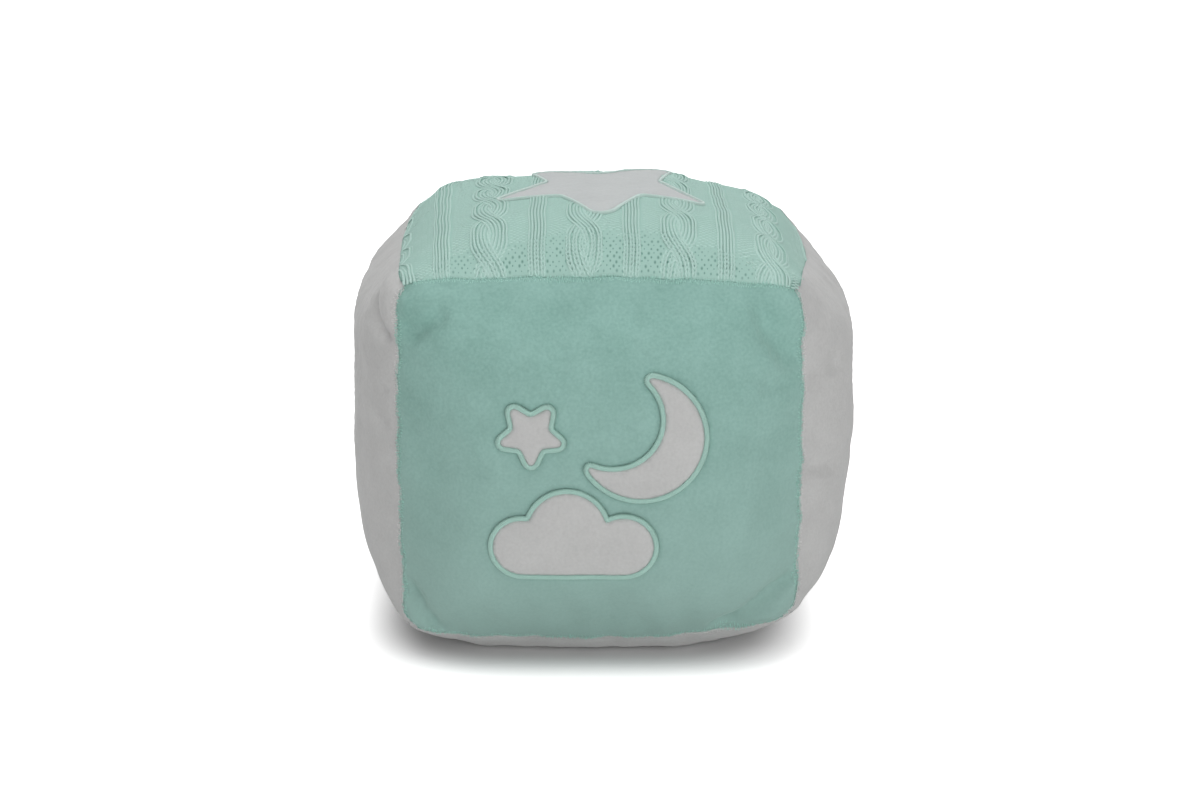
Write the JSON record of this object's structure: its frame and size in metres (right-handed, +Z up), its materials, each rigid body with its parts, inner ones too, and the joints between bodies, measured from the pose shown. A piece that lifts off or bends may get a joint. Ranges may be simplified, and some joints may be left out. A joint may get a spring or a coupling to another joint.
{
  "type": "soft fabric block",
  "caption": "Stuffed cube of velour and cable-knit panels with velour star, moon and cloud patches, for babies to hold, squeeze and stack.",
  "frame": {"origin": "middle of the footprint, on the surface the block rests on", "axes": "+Z up, -Y out of the front panel, +X to the right as the front panel is seen"},
  "size_m": [0.198, 0.2003, 0.1685],
  "materials": {
    "mint_velour": "short-pile velour",
    "white_velour": "short-pile velour",
    "mint_knit": "fine cable knit",
    "satin_stitch": "satin-stitched embroidery thread",
    "sewing_thread": "spun sewing thread",
    "lining": "thin plain-woven lining",
    "polyester_fibre": "loose hollow polyester fibre"
  },
  "bodies": {
    "root": {"front_panel": "mint_velour", "back_panel": "mint_velour", "left_panel": "white_velour", "right_panel": "white_velour", "bottom_panel": "white_velour", "top_panel": "mint_knit", "knit_backing": "lining", "fibre_filling": "polyester_fibre", "top_star_patch": "white_velour", "moon_patch": "white_velour", "cloud_patch": "white_velour", "small_star_patch": "white_velour", "top_star_border": "satin_stitch", "moon_border": "satin_stitch", "cloud_border": "satin_stitch", "small_star_border": "satin_stitch", "seam_thread_front_left": "sewing_thread", "seam_thread_front_right": "sewing_thread", "seam_thread_back_left": "sewing_thread", "seam_thread_back_right": "sewing_thread", "seam_thread_front_top": "sewing_thread", "seam_thread_front_bottom": "sewing_thread", "seam_thread_left_top": "sewing_thread", "seam_thread_left_bottom": "sewing_thread", "seam_thread_right_top": "sewing_thread", "seam_thread_right_bottom": "sewing_thread", "seam_thread_back_top": "sewing_thread", "seam_thread_back_bottom_left": "sewing_thread", "seam_thread_back_bottom_right": "sewing_thread", "closing_stitch": "sewing_thread"}
  },
  "joints": []
}
